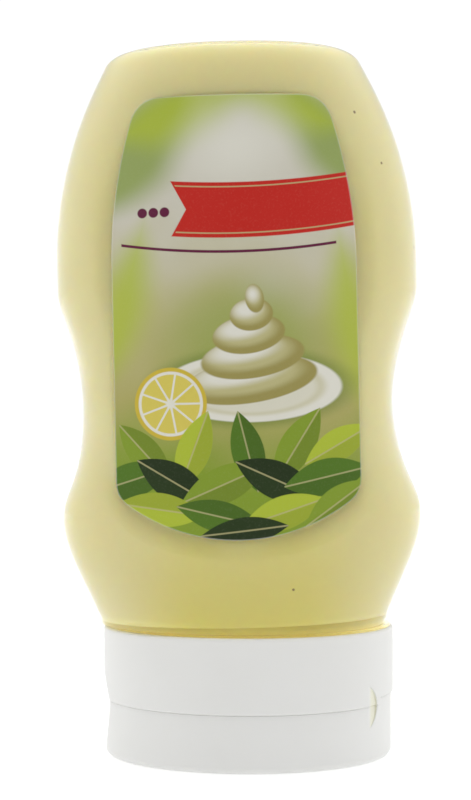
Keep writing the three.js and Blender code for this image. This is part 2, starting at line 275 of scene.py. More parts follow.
CAP_WHITE = ink(235, 235, 232)
CAP_CLOUD = ink(241, 241, 239)
NICK_PAINTED_SHADE = ink(240, 239, 220)
CLOUD_NOISE = (55.0, 3.0)
GRAIN_SCALE = 3200.0
GRAIN_STRENGTH = 0.12
GRAIN_HEIGHT = 0.00006
RUB_NOISE = (240.0, 4.0)
RUB_RANGE = (0.55, 0.8)
NICK_SHADE_RIM = (0.0, 0.3)
NICK_SHADE_FADE = (0.0, 1.2)
CAP_ROUGHNESS = 0.36
CLOUD_ROUGHNESS = 0.1
GRAIN_ROUGHNESS = 0.06
RUB_POLISH = 0.05


def white_plastic(name):
    """Satin polypropylene: fine spark-eroded grain, faint flow clouds, a little inner glow and a
    painted yellowish shade in the nicks.
    """
    material, shader, place = new_finish(
        name,
        IOR=1.49,
        Subsurface_Weight=0.12,
        Subsurface_Radius=(1.0, 1.0, 0.9),
        Subsurface_Scale=0.0015,
    )
    clouds = place.noise(*CLOUD_NOISE)
    grain = place.noise(GRAIN_SCALE)
    rubbed = place.noise(*RUB_NOISE).soft_step(*RUB_RANGE)
    sideways = place.node("ShaderNodeSeparateXYZ", None, {0: place}, "X")
    height = place.node("ShaderNodeSeparateXYZ", None, {0: place}, "Z")
    # Painted shade: a yellowish tint over the sunken part of each nick stands in for the shade and
    # bounced light there.
    along = NICK_PACE * (sideways / MM - NICK_CHORD)
    from_centre = ((along + NICK_OFFSET) ** 2.0 + (height / MM - NICK_HEIGHT) ** 2.0) ** 0.5
    nick_painted_shade = (NICK_RADIUS - from_centre).soft_step(*NICK_SHADE_RIM) * along.soft_step(*NICK_SHADE_FADE)
    white = clouds.blend(CAP_WHITE, CAP_CLOUD)
    rough = CAP_ROUGHNESS + CLOUD_ROUGHNESS * clouds + GRAIN_ROUGHNESS * grain - RUB_POLISH * rubbed
    feed(
        shader,
        Base_Color=nick_painted_shade.blend(white, NICK_PAINTED_SHADE),
        Roughness=rough,
        Normal=grain.bump(GRAIN_STRENGTH, GRAIN_HEIGHT),
    )
    return material


cap_angles = cap_turns()
lid = skin("flip_lid", lid_rings(cap_angles), (0, 0, 0), (0, 0, LID_TOP), CAP_CREASE)
cap_finish = white_plastic("satin_white_plastic")
lid.data.materials.append(cap_finish)
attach(lid, "root")
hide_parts("cap_lid")


# Collar. The upper half of the cap, of the same white polypropylene.
# The neck plugs into its round socket, its rim carries the bottle's shoulder,
# and a notch in its foot takes the lid's thumb tab.
COLLAR_RIM = 27.85
COLLAR_FOOT = 12.18
COLLAR_ROUND = 0.7
COLLAR_EDGE = 0.28
SLOT_TOP = 13.6
SLOT_SHARE = 0.83
SLOT_RISE_TO = 17.0
COLLAR_WALL_RINGS = 90
COLLAR_RIM_RINGS = 8
SOCKET_RADIUS = 18.6
SOCKET_FLOOR = 17.6


def collar_rings(turns):
    """Rings of the collar from its hidden underside up the wall, over the rim and into the socket."""
    slot_turn = math.asin(SLOT_HALF / COLLAR_HALF_DEPTH)
    foot = np.where(np.abs(turns) < slot_turn, SLOT_TOP, COLLAR_FOOT)
    inner_width = COLLAR_HALF_WIDTH * SLOT_SHARE
    inner_depth = COLLAR_HALF_DEPTH * SLOT_SHARE
    rings = [
        cap_ring(turns, inner_width, inner_depth, COLLAR_FOOT),
        cap_ring(turns, inner_width, inner_depth, foot),
        cap_ring(turns, COLLAR_HALF_WIDTH - COLLAR_EDGE, COLLAR_HALF_DEPTH - COLLAR_EDGE, foot),
    ]
    lift = (SLOT_RISE_TO - foot - COLLAR_EDGE) / (SLOT_RISE_TO - COLLAR_FOOT - COLLAR_EDGE)
    for height in np.linspace(COLLAR_FOOT + COLLAR_EDGE, COLLAR_RIM - COLLAR_ROUND, COLLAR_WALL_RINGS):
        lifted = height + np.maximum(0, SLOT_RISE_TO - height) * (1 - lift)
        rings.append(cap_ring(turns, COLLAR_HALF_WIDTH, COLLAR_HALF_DEPTH, lifted))
    for turn in np.linspace(0, math.pi / 2, COLLAR_RIM_RINGS)[1:]:
        inset = COLLAR_ROUND * (1 - math.cos(turn))
        height = COLLAR_RIM - COLLAR_ROUND * (1 - math.sin(turn))
        rings.append(cap_ring(turns, COLLAR_HALF_WIDTH - inset, COLLAR_HALF_DEPTH - inset, height))
    rings.append(cap_ring(turns, SOCKET_RADIUS, SOCKET_RADIUS, COLLAR_RIM))
    rings.append(cap_ring(turns, SOCKET_RADIUS, SOCKET_RADIUS, SOCKET_FLOOR))
    return rings


collar = skin(
    "cap_collar_moulding",
    collar_rings(cap_angles),
    (0, 0, COLLAR_FOOT),
    (0, 0, SOCKET_FLOOR),
    CAP_CREASE,
)
collar.data.materials.append(cap_finish)
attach(collar, "root")
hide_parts("cap_collar")


# Bottle wall. A clear squeezable bottle, blow moulded about one millimetre thick.
# It stands on its cap, so its dished base is at the top; it has two knuckles with a waist
# to grip between them, a shallow panel for each label, and it leans a little in the cap.
LEAN = math.radians(1.26)
SHIFT = -0.25
WALL = 1.0
BOTTLE_TOP = 150.5
BASE_ROUND = 4.2
BASE_DISH = 1.6
DISH_FROM = 0.5
DISH_TO = 0.82
WELD_HALF = 13.0
WELD_RISE = 0.3
WELD_WIDTH = 0.6
WELD_FADE = 2.0
SHOULDER_FOOT = 28.85
SHOULDER_ROUND = 0.4
ROOT_DRAW = 0.15
ROOT_FOOT = 27.9
FLANGE_TOP = 28.25
FLANGE_HALF_WIDTH = 30.8
FLANGE_HALF_DEPTH = 20.8
FLANGE_ROUND = 0.12
FLANGE_FALL = 0.03
PAINTED_LIGHT_FROM = 12.0
PAINTED_LIGHT_TO = 29.0
NECK_RADIUS = 17.0
NECK_END = 18.6
SIDE_TURNS = np.array([
    (30.0, 31.1, 0.42),
    (40.0, 35.6, 0.45),
    (51.8, 38.85, 0.0),
    (59.5, 36.55, -0.41),
    (75.4, 33.45, 0.0),
    (93.0, 36.95, 0.35),
    (101.0, 39.0, 0.0),
    (109.0, 39.0, -0.02),
    (130.0, 35.6, -0.29),
    (148.2, 27.85, -0.54),
])
FRONT_TURNS = np.array([
    (30.0, 20.6, 0.26),
    (50.0, 23.4, 0.02),
    (95.0, 23.7, 0.0),
    (138.0, 23.1, -0.06),
    (148.2, 20.9, -0.46),
])
SQUARENESS = 2.25
PLAIN_OVAL = 2.0
WAIST_SQUARENESS = 0.4
WAIST_HEIGHT = 75.4
WAIST_REACH = 12.0
WAIST_SWAY = -0.45
LABEL_TOP = 138.4
LABEL_HALF = 25.2
LABEL_TAPER_FROM = 104.0
LABEL_TAPER = 6.1
LABEL_ARC = 39.5
LABEL_ARC_CENTRE = 87.6
LABEL_SHIFT = -0.6
PANEL_DEPTH = 22.95
PANEL_RADIUS = 66.0
PANEL_FLAT = 0.7
PANEL_REACH = 5.2
PANEL_CORNER = 5.0
PANEL_EASE = 0.6
PANEL_EASE_REACH = 3.0
BOTTLE_COLUMNS = 240
BASE_RINGS = 32
BASE_MIDDLE = 0.02
BASE_ROUND_RINGS = 11
SIDE_RINGS = 140
FOOT_RINGS = 8
BOTTLE_CREASE = math.radians(50)


def curve_at(turns, height):
    """Half width or depth at a height, on a smooth curve through turns of set slope."""
    last = len(turns) - 2
    start = np.clip(np.searchsorted(turns[:, 0], height, side="right") - 1, 0, last)
    lower = turns[start]
    upper = turns[start + 1]
    run = upper[:, 0] - lower[:, 0]
    share = (height - lower[:, 0]) / run
    rise = share * share * (3 - 2 * share)
    leave = share * (1 - share) ** 2 * run * lower[:, 2]
    arrive = share * share * (share - 1) * run * upper[:, 2]
    return lower[:, 1] + (upper[:, 1] - lower[:, 1]) * rise + leave + arrive


def smooth(value):
    """A smooth rise from 0 to 1."""
    value = np.clip(value, 0, 1)
    return value * value * (3 - 2 * value)


def label_half_at(height):
    """Half the label's width at a height, without its rounded corners."""
    share = np.maximum(0, (height - LABEL_TAPER_FROM) / (LABEL_TOP - LABEL_TAPER_FROM))
    return LABEL_HALF - LABEL_TAPER * share * share


def panel_dent(across, height, lift):
    """How far the wall moves out to lie under the label; round it, only inwards and fading out."""
    beside = np.abs(across) - label_half_at(height) + PANEL_CORNER
    above = height - LABEL_TOP + PANEL_CORNER
    arc = np.hypot(across, height - LABEL_ARC_CENTRE) - LABEL_ARC + PANEL_CORNER
    below = np.where(height < LABEL_ARC_CENTRE, arc, -LABEL_ARC)
    end = np.maximum(above, below)
    corner = np.hypot(np.maximum(beside, 0), np.maximum(end, 0))
    outside = corner + np.minimum(np.maximum(beside, end), 0) - PANEL_CORNER
    share = smooth((PANEL_REACH - outside) / (PANEL_REACH - PANEL_FLAT))
    ease = PANEL_EASE * smooth((outside - PANEL_FLAT) / PANEL_EASE_REACH)
    eased = (lift - np.hypot(lift, ease)) / 2
    return share * np.where(outside < PANEL_FLAT, lift, eased)


def oval_ring(turns, half_width, half_depth, squareness, height):
    """One oval ring, rounder or squarer."""
    x = half_width * np.cos(turns)
    reach = np.maximum(0, 1 - np.abs(np.cos(turns)) ** squareness) ** (1 / squareness)
    y = half_depth * np.sign(np.sin(turns)) * reach
    return np.stack([x, y, np.broadcast_to(height, turns.shape)], axis=1)


def side_ring(turns, height, inset):
    """One ring of the bottle's side, with the sway of its waist and the label panels."""
    at = np.array([height])
    waist = math.exp(-(((height - WAIST_HEIGHT) / WAIST_REACH) ** 2))
    half_width = curve_at(SIDE_TURNS, at)[0] - inset
    half_depth = curve_at(FRONT_TURNS, at)[0] - inset
    ring = oval_ring(turns, half_width, half_depth, SQUARENESS + WAIST_SQUARENESS * waist, height)
    x = ring[:, 0] + WAIST_SWAY * waist
    face = PANEL_DEPTH - inset - x * x / (2 * PANEL_RADIUS)
    deep = np.abs(ring[:, 1])
    dent = panel_dent(x - LABEL_SHIFT, ring[:, 2], face - deep)
    ring[:, 0] = x
    ring[:, 1] = np.sign(ring[:, 1]) * (deep + dent)
    return ring


def leaned(points):
    """Points of the upright bottle, tipped as it sits in the cap."""
    points = np.asarray(points, dtype=float)
    x = points[..., 0] * math.cos(LEAN) - points[..., 2] * math.sin(LEAN) + SHIFT
    z = points[..., 2] * math.cos(LEAN) + points[..., 0] * math.sin(LEAN)
    return np.stack([x, points[..., 1], z], axis=-1)


def bottle_rings(inset, neck_radius, neck_end):
    """Rings from the middle of the base down the side to the end of the neck."""
    turns = np.linspace(-math.pi, math.pi, BOTTLE_COLUMNS, endpoint=False)
    edge_height, edge_half, edge_slope = SIDE_TURNS[-1]
    edge_depth = FRONT_TURNS[-1, 1]
    start = math.atan(-edge_slope)
    ring_width = edge_half - BASE_ROUND * math.cos(start)
    ring_depth = edge_depth - BASE_ROUND * math.cos(start)
    top = BOTTLE_TOP - inset
    rings = []
    for share in np.linspace(BASE_MIDDLE, 1.0, BASE_RINGS):
        dish = BASE_DISH * (1 - smooth((share - DISH_FROM) / (DISH_TO - DISH_FROM)))
        ring = oval_ring(turns, ring_width * share, ring_depth * share, SQUARENESS, top - dish)
        weld = np.exp(-((ring[:, 1] / WELD_WIDTH) ** 2))
        ring[:, 2] += WELD_RISE * weld * smooth((WELD_HALF - np.abs(ring[:, 0])) / WELD_FADE)
        rings.append(ring)
    base_round = BASE_ROUND - inset
    for turn in np.linspace(math.pi / 2, start, BASE_ROUND_RINGS)[1:]:
        out = base_round * math.cos(turn)
        height = top - base_round * (1 - math.sin(turn))
        rings.append(oval_ring(turns, ring_width + out, ring_depth + out, SQUARENESS, height))
    for height in np.linspace(edge_height, SIDE_TURNS[0, 0] + inset, SIDE_RINGS)[1:]:
        rings.append(side_ring(turns, height, inset))
    foot = SHOULDER_FOOT + inset
    foot_width = SIDE_TURNS[0, 1] - inset
    foot_depth = FRONT_TURNS[0, 1] - inset
    for turn in np.linspace(0, math.pi / 2, FOOT_RINGS)[1:]:
        draw = SHOULDER_ROUND * (1 - math.cos(turn))
        height = foot + SHOULDER_ROUND * (1 - math.sin(turn))
        squareness = SQUARENESS + (PLAIN_OVAL - SQUARENESS) * math.sin(turn)
        rings.append(oval_ring(turns, foot_width - draw, foot_depth - draw, squareness, height))
    root_width = foot_width - SHOULDER_ROUND - ROOT_DRAW
    root_depth = foot_depth - SHOULDER_ROUND - ROOT_DRAW
    rings.append(oval_ring(turns, root_width, root_depth, PLAIN_OVAL, foot))
    upright = SHIFT - ROOT_FOOT * math.sin(LEAN)
    seat = [(root_width, root_depth, FLANGE_TOP, upright)]
    if inset == 0:
        inner_width = FLANGE_HALF_WIDTH - FLANGE_ROUND
        inner_depth = FLANGE_HALF_DEPTH - FLANGE_ROUND
        seat.append((inner_width, inner_depth, FLANGE_TOP - FLANGE_FALL, 0.0))
        seat.append((FLANGE_HALF_WIDTH, FLANGE_HALF_DEPTH, FLANGE_TOP - FLANGE_ROUND, 0.0))
        seat.append((FLANGE_HALF_WIDTH, FLANGE_HALF_DEPTH, ROOT_FOOT, 0.0))
        seat.append((neck_radius, neck_radius, ROOT_FOOT, upright))
    else:
        seat.append((neck_radius, neck_radius, FLANGE_TOP, upright))
    seat.append((neck_radius, neck_radius, neck_end, upright))
    seated = []
    for half_width, half_depth, height, middle in seat:
        ring = oval_ring(turns, half_width, half_depth, PLAIN_OVAL, height)
        seated.append(ring + (middle, 0.0, 0.0))
    return np.concatenate([leaned(np.array(rings)), seated])


WALL_CLEAR = (0.99, 0.98, 0.93, 1.0)
WALL_WARM = (0.99, 0.97, 0.91, 1.0)
FOOT_AMBER = (0.99, 0.93, 0.6, 1.0)
PAINTED_GLOW_AMBER = (0.72, 0.62, 0.26, 1.0)
PAINTED_GLOW_PALE = (1.05, 0.94, 0.52, 1.0)
NO_PAINTED_GLOW = (0.0, 0.0, 0.0, 1.0)
FOOT_REACH = 1.6
RIPPLE_NOISE = (60.0, 1.0)
RIPPLE_STRENGTH = 0.1
RIPPLE_HEIGHT = 0.0004
SCUFF_NOISE = (900.0, 3.0)
SCUFF_RANGE = (0.6, 0.75)
TINT_SCALE = 25.0
WALL_ROUGHNESS = 0.1
SCUFF_ROUGHNESS = 0.04


def clear_plastic(name):
    """Clear squeezy plastic with soft ripples and faint scuffs; its foot is tinted amber and carries
    painted light, an amber glow that turns paler to the right.
    """
    material, shader, place = new_finish(
        name,
        Transmission_Weight=1.0,
        IOR=1.12,
        Coat_Weight=1.0,
        Coat_IOR=1.4,
        Coat_Roughness=0.1,
        # Strength of the painted glow at the foot; the plastic gives no light of its own.
        Emission_Strength=0.17,
    )
    ripple = place.noise(*RIPPLE_NOISE)
    scuff = place.noise(*SCUFF_NOISE).soft_step(*SCUFF_RANGE)
    tint = place.noise(TINT_SCALE)
    wall = tint.blend(WALL_CLEAR, WALL_WARM)
    height = place.node("ShaderNodeSeparateXYZ", None, {0: place}, "Z")
    foot = 1 - height.soft_step(FLANGE_TOP * MM, (FLANGE_TOP + FOOT_REACH) * MM)
    sideways = place.node("ShaderNodeSeparateXYZ", None, {0: place}, "X")
    # Painted light: the foot glows amber on the left and paler to the right, as if lit from that side.
    painted_lit_right = sideways.soft_step(PAINTED_LIGHT_FROM * MM, PAINTED_LIGHT_TO * MM)
    painted_glow = painted_lit_right.blend(PAINTED_GLOW_AMBER, PAINTED_GLOW_PALE)
    feed(
        shader,
        Base_Color=foot.blend(wall, FOOT_AMBER),
        Emission_Color=foot.blend(NO_PAINTED_GLOW, painted_glow),
        Roughness=WALL_ROUGHNESS + SCUFF_ROUGHNESS * scuff,
        Normal=ripple.bump(RIPPLE_STRENGTH, RIPPLE_HEIGHT),
    )
    return material


outside = bottle_rings(0.0, NECK_RADIUS, NECK_END)
inside = bottle_rings(WALL, NECK_RADIUS - WALL, NECK_END)
base_dish = BOTTLE_TOP - BASE_DISH + WELD_RISE
bottle = skin(
    "bottle_wall",
    np.concatenate([outside, inside[::-1]]),
    leaned((0, 0, base_dish)),
    leaned((0, 0, base_dish - WALL)),
    BOTTLE_CREASE,
)
bottle.data.materials.append(clear_plastic("clear_squeezy_plastic"))
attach(bottle, "root")
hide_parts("bottle")


# Mayonnaise. It fills the bottle to its base and down the neck, pressed against the wall,
# so the piece reaches just into the wall. A thick pale yellow emulsion: light goes a little
# way into it, it has faint clouds where it was poured, and a few brown specks of spice.
FILL_INTO_WALL = 0.05
FILL_END = 18.9
PAINTED_SHADE_LOW = 28.0
PAINTED_SHADE_HIGH = 66.0
PAINTED_SHADE_MIDDLE = 10.0
PAINTED_SHADE_SIDE = 29.0
SPECK_CELLS = 110.0
SPECK_RANGE = (0.027, 0.045)
SPECK_SHARE = 0.8
POURED_NOISE = (38.0, 4.0)
CURD_NOISE = (420.0, 3.0)
CURD_RANGE = (0.45, 0.9)
CURD_SHARE = 0.25
PAINTED_SHADE_SHARE = 0.8
CREAM_DARK = ink(238, 229, 171)
CREAM_LIGHT = ink(241, 234, 181)
CURD = ink(249, 244, 182)
PAINTED_SHADE_YELLOW = ink(235, 226, 124)
SPICE_BROWN = ink(120, 84, 40)


def mayonnaise_finish(name):
    """Smooth pale emulsion with faint clouds, sparse specks of spice and painted shading: a deeper
    yellow low down in the middle.
    """
    material, shader, place = new_finish(
        name,
        Roughness=0.5,
        Specular_IOR_Level=0.0,
        Subsurface_Weight=1.0,
        Subsurface_Radius=(1.0, 0.8, 0.4),
        Subsurface_Scale=0.005,
    )
    clouds = place.noise(*POURED_NOISE)
    fine = place.noise(*CURD_NOISE)
    cream = clouds.blend(CREAM_DARK, CREAM_LIGHT)
    cream = (fine.soft_step(*CURD_RANGE) * CURD_SHARE).blend(cream, CURD)
    height = place.node("ShaderNodeSeparateXYZ", None, {0: place}, "Z")
    sideways = place.node("ShaderNodeSeparateXYZ", None, {0: place}, "X")
    # Painted shading: a deeper yellow low down and in the middle of the width, fading up and out to the
    # sides.
    painted_shade = 1 - height.soft_step(PAINTED_SHADE_LOW * MM, PAINTED_SHADE_HIGH * MM)
    painted_shade = painted_shade * (1 - abs(sideways).soft_step(PAINTED_SHADE_MIDDLE * MM, PAINTED_SHADE_SIDE * MM))
    cream = (painted_shade * PAINTED_SHADE_SHARE).blend(cream, PAINTED_SHADE_YELLOW)
    cells = {"Vector": place, "Scale": SPECK_CELLS}
    near = place.node("ShaderNodeTexVoronoi", None, cells)
    speck = 1 - near.soft_step(*SPECK_RANGE)
    feed(shader, Base_Color=(speck * SPECK_SHARE).blend(cream, SPICE_BROWN))
    return material


fill = bottle_rings(WALL - FILL_INTO_WALL, NECK_RADIUS - WALL + FILL_INTO_WALL, FILL_END)
mayonnaise = skin(
    "mayonnaise_fill",
    fill,
    leaned((0, 0, base_dish - WALL + FILL_INTO_WALL)),
    (SHIFT - ROOT_FOOT * math.sin(LEAN), 0, FILL_END),
    BOTTLE_CREASE,
)
mayonnaise.data.materials.append(mayonnaise_finish("mayonnaise_emulsion"))
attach(mayonnaise, "root")
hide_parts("mayonnaise")


# Labels. A printed plastic film on the front and one on the back, die cut with a straight top,
# tapered sides, round corners and a bowed foot, and stuck flat on the bottle's panels.
# The front shows a swirl of cream on a bed of leaves, a slice of lemon and a plain red ribbon.
LABEL_CORNER = 4.8
LABEL_ARC_HALF = 22.6
SIDE_FOOT_RISE = 3.0
LABEL_LIFT = 0.03
LABEL_THICK = 0.16
LABEL_COLUMNS = 90
LABEL_FOOT_ROWS = 44
LABEL_FOOT_START = 0.03
LABEL_BODY_FROM = 56.0
LABEL_BODY_ROWS = 130
LABEL_TOP_ROWS = 34
ARC_POINTS = 60
LOW_CORNER_POINTS = 20
SIDE_POINTS = 80
HIGH_CORNER_POINTS = 24
SMALLEST_RUN = 1e-9
LABEL_CREASE = math.radians(40)


def bend(start, middle, end, count):
    """Points of a curve from start to end, drawn towards middle."""
    share = np.linspace(0, 1, count)[:, None]
    start = np.array(start)
    middle = np.array(middle)
    end = np.array(end)
    return (1 - share) ** 2 * start + 2 * share * (1 - share) * middle + share ** 2 * end


def label_outline():
    """Right half of the die cut from the middle of its foot up to its top: half width, height."""
    arc_turn = math.asin(LABEL_ARC_HALF / LABEL_ARC)
    turns = np.linspace(0.0, arc_turn, ARC_POINTS)
    arc = np.stack([LABEL_ARC * np.sin(turns), LABEL_ARC_CENTRE - LABEL_ARC * np.cos(turns)], axis=1)
    corner_foot = arc[-1, 1] + (LABEL_HALF - LABEL_ARC_HALF) * math.tan(arc_turn)
    side_foot = corner_foot + SIDE_FOOT_RISE
    side_top = LABEL_TOP - LABEL_CORNER
    low_turn = (LABEL_HALF, corner_foot)
    low_corner = bend(arc[-1], low_turn, (LABEL_HALF, side_foot), LOW_CORNER_POINTS)
    heights = np.linspace(side_foot, side_top, SIDE_POINTS)
    side = np.stack([label_half_at(heights), heights], axis=1)
    corner = label_half_at(LABEL_TOP)
    high_end = (corner - LABEL_CORNER, LABEL_TOP)
    high_corner = bend(side[-1], (corner, LABEL_TOP), high_end, HIGH_CORNER_POINTS)
    return np.concatenate([arc, low_corner[1:], side[1:], high_corner[1:]])


def distance_to_line(points, line):
    """Distance of each point from the nearest stretch of a closed line."""
    nearest = np.full(points.shape[:-1], np.inf)
    for start, end in zip(line, np.roll(line, -1, axis=0)):
        run = end - start
        share = np.clip((points - start) @ run / max(run @ run, SMALLEST_RUN), 0, 1)
        gap = points - start - share[..., None] * run
        nearest = np.minimum(nearest, np.hypot(gap[..., 0], gap[..., 1]))
    return nearest


def label_sheet(name, side):
    """A thin sheet bent round the panel, that carries its own flat coordinates in millimetres."""
    outline = label_outline()
    foot = outline[0, 1]
    shoulder = LABEL_TOP - LABEL_CORNER
    low = foot + (LABEL_BODY_FROM - foot) * np.linspace(LABEL_FOOT_START, 1, LABEL_FOOT_ROWS) ** 2
    middle = np.linspace(LABEL_BODY_FROM, shoulder, LABEL_BODY_ROWS)[1:]
    high = LABEL_TOP - LABEL_CORNER * np.linspace(1, 0, LABEL_TOP_ROWS)[1:] ** 2
    heights = np.concatenate([low, middle, high])
    halves = np.interp(heights, outline[:, 1], outline[:, 0])
    halves[-1] = outline[-1, 0]
    shares = np.linspace(-1, 1, LABEL_COLUMNS + 1)
    across = shares[None, :] * halves[:, None]
    up = np.broadcast_to(heights[:, None], across.shape)
    whole = np.concatenate([outline, outline[::-1] * (-1, 1)])
    edge = distance_to_line(np.stack([across, up], axis=-1), whole)
    x = across + LABEL_SHIFT
    panel = PANEL_DEPTH + LABEL_LIFT - x * x / (2 * PANEL_RADIUS)
    outer = leaned(np.stack([x, side * (panel + LABEL_THICK), up], axis=-1))
    inner = leaned(np.stack([x, side * panel, up], axis=-1))
    rows, columns = across.shape
    count = rows * columns
    points = np.concatenate([outer.reshape(-1, 3), inner.reshape(-1, 3)]) * MM
    faces = []
    for row in range(rows - 1):
        for column in range(columns - 1):
            first = row * columns + column
            square = (first, first + 1, first + columns + 1, first + columns)
            faces.append(square)
            faces.append(tuple(count + corner for corner in reversed(square)))
    lower = list(range(columns))
    right = [row * columns + columns - 1 for row in range(1, rows)]
    upper = [(rows - 1) * columns + column for column in range(columns - 2, -1, -1)]
    left = [row * columns for row in range(rows - 2, 0, -1)]
    rim = lower + right + upper + left
    for here, following in zip(rim, rim[1:] + rim[:1]):
        faces.append((following, here, count + here, count + following))
    sheet = solid_piece(name, points, faces, LABEL_CREASE)
    for title, values in (("across", across * -side), ("up", up), ("edge", edge)):
        written = sheet.data.attributes.new(title, "FLOAT", "POINT")
        written.data.foreach_set("value", np.tile(values.ravel(), 2).astype(np.float32))
    return sheet


PRINT_BLUR = 0.12
LEAF_SHADE = 0.72
LEAF_SHADE_BLUR = 0.5
LEAF_SHADE_SHARE = 0.8
RIB_HALF = 0.16
RIB_BLUR = 0.1
RIB_SHARE = 0.7


class Print:
    """The flat artwork of a label: shapes in millimetres, each printed over the ones before."""

    def __init__(self, place):
        self.across = self.read(place, "across")
        self.up = self.read(place, "up")
        self.edge = self.read(place, "edge")
        self.colour = None

    def read(self, place, title):
        return place.node("ShaderNodeAttribute", {"attribute_name": title}, None, "Fac")

    def lay(self, share, colour):
        self.colour = share.blend(self.colour, colour)

    def inside(self, distance, blur=PRINT_BLUR):
        """A mask that is 1 where the distance into a shape is more than its blur."""
        return distance.soft_step(-blur, blur)

    def turned(self, across, up, turn):
        """Coordinates from a point, along a direction and square to it."""
        cos = math.cos(turn)
        sin = math.sin(turn)
        along = self.across * cos + self.up * sin - (across * cos + up * sin)
        off = self.up * cos - self.across * sin - (up * cos - across * sin)
        return along, off

    def oval(self, across, up, wide, high, turn=0.0):
        """Distance into an oval, in shares of its smaller half."""
        along, off = self.turned(across, up, turn)
        far = (along / wide) ** 2.0 + (off / high) ** 2.0
        return (1 - far ** 0.5) * min(wide, high)

    def leaf(self, across, up, turn, length, width, colour, vein):
        """A leaf with a pale middle rib and a darker half."""
        along, off = self.turned(across, up, turn)
        share = along / length
        body = width * (1 - share * share) - abs(off)
        shape = self.inside(body)
        self.lay(shape, colour)
        dark = tuple(part * LEAF_SHADE for part in colour[:3]) + (1.0,)
        self.lay(shape * self.inside(-off, LEAF_SHADE_BLUR) * LEAF_SHADE_SHARE, dark)
        rib = shape * self.inside(RIB_HALF - abs(off), RIB_BLUR)
        self.lay(rib * RIB_SHARE, vein)


PALE = ink(207, 203, 188)
CREAM = ink(190, 184, 132)
BUFF = ink(176, 170, 102)
SHADOW = ink(158, 148, 84)
SPRING_GREEN = ink(176, 192, 56)
LEAF_GREEN = ink(132, 156, 44)
MID_GREEN = ink(82, 118, 28)
DEEP_GREEN = ink(34, 54, 12)
LEMON = ink(206, 182, 62)
LEMON_FLESH = ink(216, 200, 92)
RIBBON_RED = ink(196, 38, 28)
RULE_PURPLE = ink(98, 26, 60)
EDGE_WHITE = ink(228, 226, 214)

# Ground: stops of its colour from foot to top, and the haze that stirs it.
GROUND_STOPS = [(0.0, LEAF_GREEN), (0.25, BUFF), (0.5, CREAM), (0.78, PALE), (1.0, PALE)]
GROUND_FOOT = 58.0
GROUND_RISE = 74.0
GROUND_HAZE_NOISE = (70.0, 1.0)
GROUND_HAZE_SHARE = 0.3
HAZE_MIDDLE = 0.5

# Leaves, sharp or out of focus: middle across, middle up, turn, half length, half width, colour.
BLURRED_LEAVES = (
    (-19.0, 128.0, 0.9, 17.0, 8.0, LEAF_GREEN),
    (-10.0, 135.0, 0.3, 15.0, 6.0, SPRING_GREEN),
    (20.0, 129.0, 2.2, 16.0, 6.5, LEAF_GREEN),
    (11.0, 136.0, 2.8, 12.0, 4.5, SPRING_GREEN),
    (-23.0, 96.0, 1.3, 16.0, 5.0, SPRING_GREEN),
    (24.0, 92.0, 1.7, 17.0, 5.0, SPRING_GREEN),
)
BLURRED_RANGE = (-4.0, 4.5)
BLURRED_SHARE = 0.8
BED_LEAVES = (
    (-19.0, 66.0, 2.3, 8.0, 3.2, LEAF_GREEN),
    (-9.0, 66.5, 1.2, 8.5, 3.4, SPRING_GREEN),
    (2.0, 66.0, 1.8, 8.5, 3.3, MID_GREEN),
    (12.0, 67.0, 1.0, 9.0, 3.5, LEAF_GREEN),
    (20.5, 67.0, 0.5, 8.0, 3.2, SPRING_GREEN),
    (-22.0, 60.5, 0.3, 9.0, 3.6, MID_GREEN),
    (-13.0, 60.0, 2.6, 9.0, 3.8, DEEP_GREEN),
    (-3.0, 59.5, 0.4, 9.5, 3.7, LEAF_GREEN),
    (8.0, 60.0, 2.7, 9.5, 3.8, DEEP_GREEN),
    (18.0, 60.5, 0.2, 9.0, 3.7, MID_GREEN),
    (-16.0, 54.5, 3.0, 9.0, 3.4, SPRING_GREEN),
    (-4.0, 53.0, 2.9, 9.0, 3.2, MID_GREEN),
    (9.0, 53.5, 0.3, 9.0, 3.4, SPRING_GREEN),
    (20.0, 55.0, 0.6, 8.0, 3.2, LEAF_GREEN),
    (1.0, 50.0, 0.1, 9.0, 2.8, DEEP_GREEN),
)

# Ovals: middle across, middle up, half width, half height and, for some, a turn.
SHINE = (1.0, 128.0, 10.0, 7.0, 0.2)
SHINE_RANGE = (-6.0, 7.0)
SHINE_SHARE = 0.8
BACKING = (2.0, 88.0, 21.0, 17.0)
BACKING_RANGE = (-2.0, 12.0)
BACKING_SHARE = 0.55
PLATE = (3.0, 79.0, 18.5, 7.0)
PLATE_SHADOW_RANGE = (-2.2, 0.4)
PLATE_SHADOW_SHARE = 0.5
PLATE_BLUR = 0.2
PLATE_RIM = 1.3
PLATE_WELL = 1.9
PLATE_RIM_BLUR = 0.5
PLATE_RIM_SHARE = 0.6
SWIRL_FOLDS = (
    (3.0, 80.5, 13.6, 4.6),
    (3.4, 85.2, 10.6, 4.3),
    (2.7, 89.8, 7.4, 3.9),
    (3.3, 93.8, 4.4, 3.3),
    (4.0, 97.0, 1.9, 2.9),
)
FOLD_TURN = 0.14
FOLD_BLUR = 0.15

# The two lighter patches on a fold: shift left, shift up, share of its width and of its height,
# soft range and colour.
FOLD_LIGHTS = (
    (0.08, 0.16, 0.9, 0.82, (-0.5, 1.0), CREAM),
    (0.2, 0.3, 0.7, 0.55, (-0.7, 1.2), EDGE_WHITE),
)

# Slice of lemon.
SLICE_ACROSS = -13.5
SLICE_UP = 76.0
PEEL_RADIUS = 7.4
PITH_RADIUS = 6.6
FLESH_RADIUS = 6.0
SEGMENT_WAVES = 4.5
SEGMENT_GAP = 0.9
SEGMENT_BLUR = 0.3

